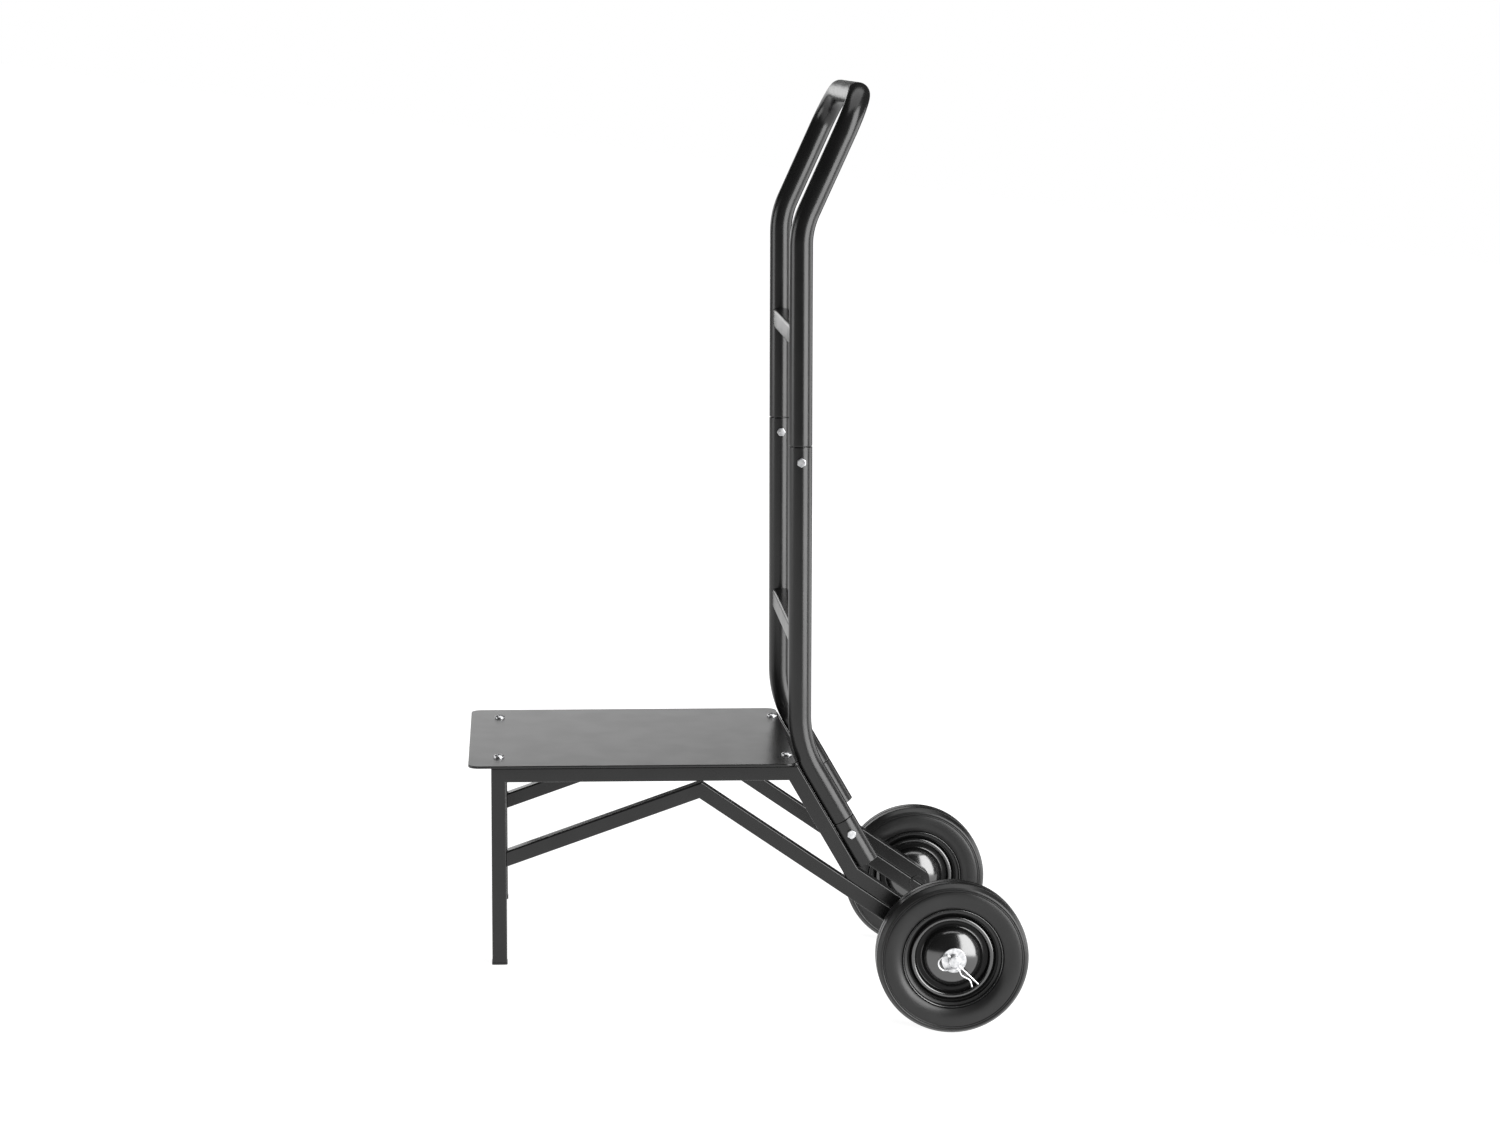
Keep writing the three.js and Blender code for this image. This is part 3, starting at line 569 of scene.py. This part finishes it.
def domed_screw(seat, under):
    """Low domed head with a hex socket, and the shank down through the nut."""
    dome = [(7.1, 0.05), (7.1, 0.9), (6.9, 1.6), (6.3, 2.4), (5.4, 3.1), (4.3, 3.6),
            (3.4, 3.85), (2.9, 3.9), (2.65, 3.8)]
    head = stack([(4.0, -0.2), (6.8, 0)] + dome)
    angles = [2 * math.pi * i / 48 for i in range(48)]
    socket = [[(a, hex_radius(4.2, a), h) for a in angles] for h in (3.7, 1.6)]
    head += socket + stack([(1e-4, 1.4)])
    top = bridged(stand(head, seat, UP), closed_start=True, closed_end=False)
    shank = bridged(stand(stack([(3.4, under - seat.z - 9), (4, under - seat.z - 8.2), (4, 0)]),
                          seat, UP))
    return joined(top, shank)


def hex_nut(base, along, across_flats, height, bore):
    """A chamfered nut with an open bore, standing on base."""
    rings = hex_rings(across_flats, height, chamfer_both=True)
    mouth = stack([(bore, height), (bore, 0)])
    return bridged(stand(rings + mouth, base, along, math.pi / 6), loop=True)


def platform_fasteners(name, sign):
    """Two screws through the plate and its rail tubes, with a nut under each."""
    under = RAIL_TOP - TUBE
    for place, y in (("front", front_bolt_y), ("rear", rear_bolt_y)):
        seat = Vector((sign * BOLT_X, y, plate_top))
        bolt = f"{name}_platform_bolt_{place}"
        nut = f"{name}_platform_nut_{place}"
        piece(f"v_{bolt}", *domed_screw(seat, under), "zinc", [bolt])
        base = Vector((seat.x, seat.y, under - 6.5))
        piece(f"v_{nut}", *hex_nut(base, UP, 13, 6.5, 4.1), "zinc", [nut], sharp=25)


# ------------------------------------------------------------------ handle

SIDES_ROUND = 64


def hollow_run(start, end, outer, inner, ease=0.5):
    """A straight open tube with eased lips at both ends."""
    along = (end - start).normalized()
    length = (end - start).length
    steps = [(outer - ease, 0), (outer - 0.15, 0.15), (outer, ease), (outer, 2 * ease),
             (outer, length - 2 * ease), (outer, length - ease),
             (outer - 0.15, length - 0.15), (outer - ease, length), (inner + 0.3, length),
             (inner, length - 0.3), (inner, 0.3), (inner + 0.3, 0)]
    return bridged(stand(stack(steps, SIDES_ROUND), start, along), loop=True)


def lipped(stations, radius, ease=0.7, back=0.3, neck=0.0):
    """A round tube with eased ends; with a neck, each end steps in to the spigot inside."""
    (first, first_along), (last, last_along) = stations[0], stations[-1]
    lip = [(back, radius - ease), (back + ease * 0.3, radius - ease * 0.3), (back + ease, radius),
           (back + 2 * ease, radius)]
    if neck:
        lip = [(-neck, radius - 2.2), (back, radius - 2.2)] + lip
    body = [(first + first_along * reach, first_along, r) for reach, r in lip]
    body += [(place, along, radius) for place, along in stations[1:-1]]
    body += [(last - last_along * reach, last_along, r) for reach, r in reversed(lip)]
    tangent = body[0][1]
    across, up = axes_across(tangent)
    rings = []
    for place, along, r in body:
        turn = tangent.rotation_difference(along)
        across, up = turn @ across, turn @ up
        tangent = along
        rings.append([place + across * u + up * v for u, v in circle(r, SIDES_ROUND)])
    return bridged(rings)


def handle():
    """Sockets, lower tubes, the upper loop and the two crossbars."""
    inner = HANDLE_RADIUS - HANDLE_WALL
    for name, sign in SIDES:
        x = sign * FRAME_X
        low, high = at_x(socket_low, x), at_x(socket_high, x)
        piece(f"v_{name}_handle_socket", *hollow_run(high, low, HANDLE_RADIUS, inner),
              "frame_paint", [f"{name}_handle_socket"])
        foot = high - post_along * GAP
        stations = bent([foot, at_x(handle_bend, x), at_x(mid_joint, x) - UP * GAP],
                        [LOWER_BEND_RADIUS], 2)
        piece(f"v_{name}_lower_handle_tube", *lipped(stations, HANDLE_RADIUS),
              "frame_paint", [f"{name}_lower_handle_tube"])
    lean_back = side_direction(90 - BEND_ANGLE)
    bend = Vector((0, HANDLE_Y, BEND_UP))
    top = bend + lean_back * ((LOOP_TOP - BEND_UP) / lean_back.z)
    rising = [mid_joint, bend, top]
    corners = [at_x(c, FRAME_X) for c in rising] + [at_x(c, -FRAME_X) for c in reversed(rising)]
    radii = [UPPER_BEND_RADIUS, LOOP_CORNER_RADIUS, LOOP_CORNER_RADIUS, UPPER_BEND_RADIUS]
    piece("v_upper_handle_loop", *lipped(bent(corners, radii, 2), HANDLE_RADIUS - 0.1, neck=2.0),
          "frame_paint", ["upper_handle_loop"])
    for name, height in BAR_HEIGHTS.items():
        reach = FRAME_X - HANDLE_RADIUS * 0.5
        ends = [Vector((s * reach, HANDLE_Y, height)) for s in (-1, 1)]
        bar = run(rounded(BAR_DEEP, BAR_TALL, 3.5, 8), *ends)
        piece(f"v_{name}_crossbar", *bar, "frame_paint", [f"{name}_crossbar"])


def joint_bolt(name, sign, place, centre):
    """Hex screw through the tube along X, head outboard, nut and bolt end inboard."""
    outward = X_AXIS * sign
    middle = Vector((sign * FRAME_X, centre.y, centre.z))
    seat = middle + outward * (HANDLE_RADIUS - 0.1)
    head = bridged(stand(hex_rings(10.6, 4.4), seat, outward))
    tail = stack([(2.4, -2 * HANDLE_RADIUS - 9.2), (3, -2 * HANDLE_RADIUS - 8.6), (3, 0.5)])
    shank = bridged(stand(tail, seat, outward))
    node = f"{name}_{place}_bolt"
    piece(f"v_{node}", *joined(head, shank), "zinc", [node], sharp=25)
    base = middle - outward * (HANDLE_RADIUS - 0.1)
    nut = f"{name}_{place}_nut"
    piece(f"v_{nut}", *hex_nut(base, -outward, 10.4, 5.5, 3.05), "zinc", [nut], sharp=25)


# ------------------------------------------------------------------ wheels and axles


def crown(axial):
    """Tread radius across the tyre: nearly flat, falling away at the shoulders."""
    over = max(0.0, abs(axial) - 13.0)
    return TYRE_RADIUS - 0.0016 * axial * axial - 0.062 * over ** 2


TREAD_HALF = 20.2
GROOVES = (12.7, 0.0)
GROOVE_HALF = 1.5
GROOVE_DEPTH = 2.0


def tyre_outline():
    """Closed section: side wall with its raised lines, ribbed tread, and the bead."""
    tread = [(TREAD_HALF, crown(TREAD_HALF))]
    for middle in GROOVES:
        for offset, depth in ((GROOVE_HALF, 0), (0.7 * GROOVE_HALF, GROOVE_DEPTH),
                              (-0.7 * GROOVE_HALF, GROOVE_DEPTH), (-GROOVE_HALF, 0)):
            if middle + offset >= 0:
                tread.append((middle + offset, crown(middle + offset) - depth))
    wall = [(8.6, 61.0), (12.3, 61.0), (12.9, 64.2), (15.6, 68.6), (16.9, 67.9), (18.2, 68.6),
            (20.6, 72.0), (21.9, 76.5), (22.5, 82.0), (22.3, 87.5), (21.8, 90.8), (21.2, 91.4),
            (21.9, 92.2), (21.7, 93.4), (20.9, 94.0), (21.4, 95.0), (21.0, 96.4)]
    half = wall + tread
    return half + [(-a, r) for a, r in reversed(half)] + [(-9.4, 68), (9.4, 68)]


def rim_outline():
    """Closed section of one pressing: flange lip, channel, raised ring, recess and dome."""
    lip = [(17.4, 67.0), (17.8, 66.3), (17.3, 65.4), (15.4, 64.6), (8.4, 63.4), (5.6, 61.6),
           (5.0, 59.6), (5.2, 57.6), (6.4, 56.0)]
    ring = [(8.8 + 1.9 * math.sin(t), 52.5 + 2.9 * math.cos(t))
            for t in [math.radians(12 * i) for i in range(1, 15)]]
    recess = [(6.0, 49.4), (2.6, 48.8), (1.6, 47.8), (1.4, 46.0), (1.4, 42.6)]
    dome = [(1.8 + 21.8 * math.sin(t), 40.6 * math.cos(t))
            for t in [math.radians(2 + 4.2 * i) for i in range(17)]]
    inside = [(a - 1.2, r - 1.2) for a, r in reversed(dome) if r > 14.5]
    back = [(0.2, 40), (0.2, 50.2), (4.0, 56.0), (4.2, 62.0), (7.8, 64.6), (14.8, 66.2),
            (16.4, 67.4)]
    return lip + ring + recess + dome + inside + back


def wheel(name, sign):
    """Tyre, two rim dishes and the hub tube, all riding the turning wheel."""
    x = sign * WHEEL_X
    body = f"{name}_wheel"
    tyre = lathe(tyre_outline(), 160, x, sign)
    piece(f"v_{name}_tyre", *tyre, "tyre_rubber", [f"{name}_tyre"], WHEELS, body, 40)
    for place, outward in (("outer", sign), ("inner", -sign)):
        rim = lathe(rim_outline(), 128, x, outward)
        node = f"{name}_rim_{place}"
        piece(f"v_{node}", *rim, "rim_paint", [node], WHEELS, body, 40)
    tube = [(-HUB_HALF, 12.9), (-HUB_HALF + 0.4, 13.2), (HUB_HALF - 0.4, 13.2),
            (HUB_HALF, 12.9), (HUB_HALF, 11.2), (-HUB_HALF, 11.2)]
    piece(f"v_{name}_hub_tube", *lathe(tube, 96, x, sign), "rim_paint",
          [f"{name}_hub_tube"], WHEELS, body)


WASHER_AT = HUB_HALF + GAP
CLIP_AT = WASHER_AT + 2 + 3.6
AXLE_END = CLIP_AT + 4.4
COLLAR_AT = -HUB_HALF - GAP
CLIP_ANGLE = 44.3
CLIP_WIRE = 1.2
CLIP_LEG = 44.7
CLIP_LOOP = (-6.4, 10.2, 9.6)
CLIP_WAVE = ((10.4, 4.6), (20.5, 6.8), (31, 4.1), (36.4, 5.4), (41.2, 8.4))


def smooth_path(points, per_span=10):
    """Catmull-Rom stations through the points."""
    padded = [points[0] * 2 - points[1], *points, points[-1] * 2 - points[-2]]
    stations = []
    for i in range(1, len(padded) - 2):
        p0, p1, p2, p3 = padded[i - 1:i + 3]
        for k in range(per_span):
            t = k / per_span
            place = 0.5 * (2 * p1 + (p2 - p0) * t + (2 * p0 - 5 * p1 + 4 * p2 - p3) * t ** 2
                           + (3 * p1 - 3 * p2 + p3 - p0) * t ** 3)
            stations.append(place)
    stations.append(points[-1])
    tangents = [(stations[min(i + 1, len(stations) - 1)] - stations[max(i - 1, 0)]).normalized()
                for i in range(len(stations))]
    return list(zip(stations, tangents))


def clip_path(x):
    """One straight leg, a loop round the axle and one waved leg."""
    along = side_direction(-CLIP_ANGLE)
    across = side_direction(-CLIP_ANGLE - 90)
    centre_s, centre_t, radius = CLIP_LOOP
    corners = [(CLIP_LEG, 0), (20, 0), (-8.6, 0.1)]
    for turn in range(130, 336, 41):
        angle = math.radians(turn)
        corners.append((centre_s + radius * math.cos(angle), centre_t - radius * math.sin(angle)))
    corners += CLIP_WAVE
    return smooth_path([at_x(along * s + across * t, x) for s, t in corners])


def axle_parts(name, sign):
    """The welded boss, the stub axle with its collar, the washer and the hairpin clip."""
    x = sign * WHEEL_X
    inner_end = FRAME_X - HALF - 1.5 - WHEEL_X
    outer_end = COLLAR_AT - 2.4 - GAP
    bore = AXLE_RADIUS + GAP
    boss = [(inner_end, BOSS_RADIUS - 0.6), (inner_end + 0.6, BOSS_RADIUS),
            (outer_end, BOSS_RADIUS), (outer_end, bore), (inner_end + 0.5, bore),
            (inner_end, bore + 0.5)]
    piece(f"v_{name}_axle_boss", *lathe(boss, 64, x, sign), "frame_paint",
          [f"{name}_axle_boss"])
    r = AXLE_RADIUS
    axle = [(inner_end + 14, 0), (inner_end + 14, r - 0.5), (inner_end + 14.5, r),
            (COLLAR_AT - 2.4, r), (COLLAR_AT - 2.4, 11.7), (COLLAR_AT - 2.1, 12),
            (COLLAR_AT - 0.3, 12), (COLLAR_AT, 11.7), (COLLAR_AT, r), (AXLE_END - 1.2, r),
            (AXLE_END - 0.4, r - 0.5), (AXLE_END, r - 1.3), (AXLE_END, 0)]
    piece(f"v_{name}_stub_axle", *lathe(axle, 64, x, sign), "zinc", [f"{name}_stub_axle"])
    washer = [(WASHER_AT, bore), (WASHER_AT, 16.2), (WASHER_AT + 0.3, 16.5),
              (WASHER_AT + 1.6, 16.5), (WASHER_AT + 2, 16.0), (WASHER_AT + 2, bore)]
    piece(f"v_{name}_washer", *lathe(washer, 96, x, sign), "zinc", [f"{name}_washer"])
    wire = sweep(clip_path(sign * (WHEEL_X + CLIP_AT)), CLIP_WIRE, 20)
    piece(f"v_{name}_hairpin_clip", *wire, "zinc", [f"{name}_hairpin_clip"])


# ------------------------------------------------------------------ build

platform()
handle()
for side_name, side_sign in SIDES:
    side_frame(side_name, side_sign)
    platform_fasteners(side_name, side_sign)
    joint_bolt(side_name, side_sign, "mid", mid_bolt)
    joint_bolt(side_name, side_sign, "socket", socket_bolt)
    wheel(side_name, side_sign)
    axle_parts(side_name, side_sign)
    for place in ("outer", "inner"):
        bearing = frame["nodes"][f"{side_name}_bearing_{place}"]
        bearing.data.materials.clear()
        bearing.data.materials.append(MATERIALS["bearing_steel"])

# ------------------------------------------------------------------ camera


CAMERA_PLACE = Vector((4900.0, HANDLE_Y - 372.3, 1325.1 - TYRE_RADIUS))
CAMERA_YAW = 0.01953
CAMERA_PITCH = 0.12186
CAMERA_ROLL = -0.00381
CAMERA_LENS = 86.183
CAMERA_SHIFT = (0.1073, -0.06)


def make_camera():
    """The photograph's camera: fixed to the level cart, so it leans with it.

    The photograph's lens was shifted far down. Only part of that shift is kept, so that other
    views still hold the whole cart, and a small tilt stands in for the rest.
    """
    level = math.cos(CAMERA_PITCH)
    forward = Vector((-math.cos(CAMERA_YAW) * level, math.sin(CAMERA_YAW) * level,
                      -math.sin(CAMERA_PITCH)))
    aim = forward.to_track_quat("-Z", "Y") @ Quaternion((0, 0, 1), CAMERA_ROLL)
    data = bpy.data.cameras.new("camera")
    data.sensor_width = 36.0
    data.lens = CAMERA_LENS
    data.shift_x, data.shift_y = CAMERA_SHIFT
    data.clip_end = 100.0
    camera = bpy.data.objects.new("camera", data)
    camera.location = CART @ CAMERA_PLACE
    camera.rotation_mode = "QUATERNION"
    camera.rotation_quaternion = CART_TURN.to_quaternion() @ aim
    bpy.context.scene.collection.objects.link(camera)
    bpy.context.scene.camera = camera


make_camera()

# ------------------------------------------------------------------ floor, light and sky


def radial(nodes, links, inner, outer, low, high):
    """A value that goes smoothly from low to high with distance from the middle."""
    place = nodes.new("ShaderNodeTexCoord")
    length = nodes.new("ShaderNodeVectorMath")
    length.operation = "LENGTH"
    links.new(place.outputs["Object"], length.inputs[0])
    rise = nodes.new("ShaderNodeMapRange")
    rise.interpolation_type = "SMOOTHSTEP"
    rise.inputs["From Min"].default_value = inner
    rise.inputs["From Max"].default_value = outer
    rise.inputs["To Min"].default_value = low
    rise.inputs["To Max"].default_value = high
    links.new(length.outputs["Value"], rise.inputs["Value"])
    return rise.outputs["Result"]


def make_floor():
    """A pale floor with a painted pool of light round the cart, that fades into the white backdrop."""
    material, nodes, links, shader = node_material("floor")
    shader.inputs["Base Color"].default_value = (0.3, 0.3, 0.3, 1)
    shader.inputs["Roughness"].default_value = 1.0
    shader.inputs["Specular IOR Level"].default_value = 0.0
    shader.inputs["Emission Color"].default_value = (1, 1, 1, 1)
    path = nodes.new("ShaderNodeLightPath")
    glow = nodes.new("ShaderNodeMix")
    links.new(path.outputs["Is Camera Ray"], glow.inputs["Factor"])
    # Painted pool of light: for every ray but the camera's, the floor glows brightly round the cart and fades to
    # almost nothing far off.
    links.new(radial(nodes, links, 1.0, 7.0, 0.85, 0.03), glow.inputs["A"])
    links.new(radial(nodes, links, 0.5, 1.4, 0.93, 1.05), glow.inputs["B"])
    links.new(glow.outputs["Result"], shader.inputs["Emission Strength"])
    reach = 40.0
    mesh = bpy.data.meshes.new("floor")
    mesh.from_pydata([(-reach, -reach, 0), (reach, -reach, 0), (reach, reach, 0),
                      (-reach, reach, 0)], [], [(0, 1, 2, 3)])
    mesh.materials.append(material)
    floor = bpy.data.objects.new("floor", mesh)
    floor.location.z = -0.0005
    bpy.context.scene.collection.objects.link(floor)


def soft_box(name, azimuth, distance, width, top, radiance, bottom):
    """An upright panel of light facing the cart, between two heights above the floor.

    Its azimuth turns from the cart's left side towards its rear.
    """
    angle = math.radians(azimuth)
    away = Vector((math.cos(angle), math.sin(angle), 0))
    data = bpy.data.lights.new(name, "AREA")
    data.shape = "RECTANGLE"
    data.size, data.size_y = width, top - bottom
    data.energy = math.pi * width * (top - bottom) * radiance
    light = bpy.data.objects.new(name, data)
    light.location = away * distance + Vector((0, 0, (top + bottom) / 2))
    light.rotation_mode = "QUATERNION"
    light.rotation_quaternion = (-away).to_track_quat("-Z", "Y")
    bpy.context.scene.collection.objects.link(light)


def overhead(height, size, radiance):
    """A square panel of light above the cart."""
    data = bpy.data.lights.new("overhead", "AREA")
    data.size = size
    data.energy = math.pi * size * size * radiance
    light = bpy.data.objects.new("overhead", data)
    light.location.z = height
    bpy.context.scene.collection.objects.link(light)


def make_sky():
    """White where the camera looks, and a dark studio for everything else."""
    world = bpy.data.worlds.new("sky")
    world.use_nodes = True
    nodes, links = world.node_tree.nodes, world.node_tree.links
    studio = nodes["Background"]
    studio.inputs["Color"].default_value = (0.03, 0.03, 0.03, 1)
    backdrop = nodes.new("ShaderNodeBackground")
    backdrop.inputs["Color"].default_value = (1, 1, 1, 1)
    path = nodes.new("ShaderNodeLightPath")
    mix = nodes.new("ShaderNodeMixShader")
    links.new(path.outputs["Is Camera Ray"], mix.inputs["Fac"])
    links.new(studio.outputs["Background"], mix.inputs[1])
    links.new(backdrop.outputs["Background"], mix.inputs[2])
    links.new(mix.outputs["Shader"], nodes["World Output"].inputs["Surface"])
    bpy.context.scene.world = world


make_floor()
make_sky()
for panel in (
    # name, azimuth, distance, width, top, radiance, bottom
    ("key", 46, 3.0, 2.3, 4.4, 6.5, 0.02),
    ("side", 106, 3.2, 2.6, 1.5, 2.4, 0.02),
    ("left", -88, 3.0, 1.5, 1.25, 3.0, 0.02),
    ("back", 203, 4.8, 5.4, 1.7, 1.4, 0.38),
):
    soft_box(*panel)
overhead(4.0, 3.6, 1.8)
bpy.context.scene.view_settings.view_transform = "Standard"
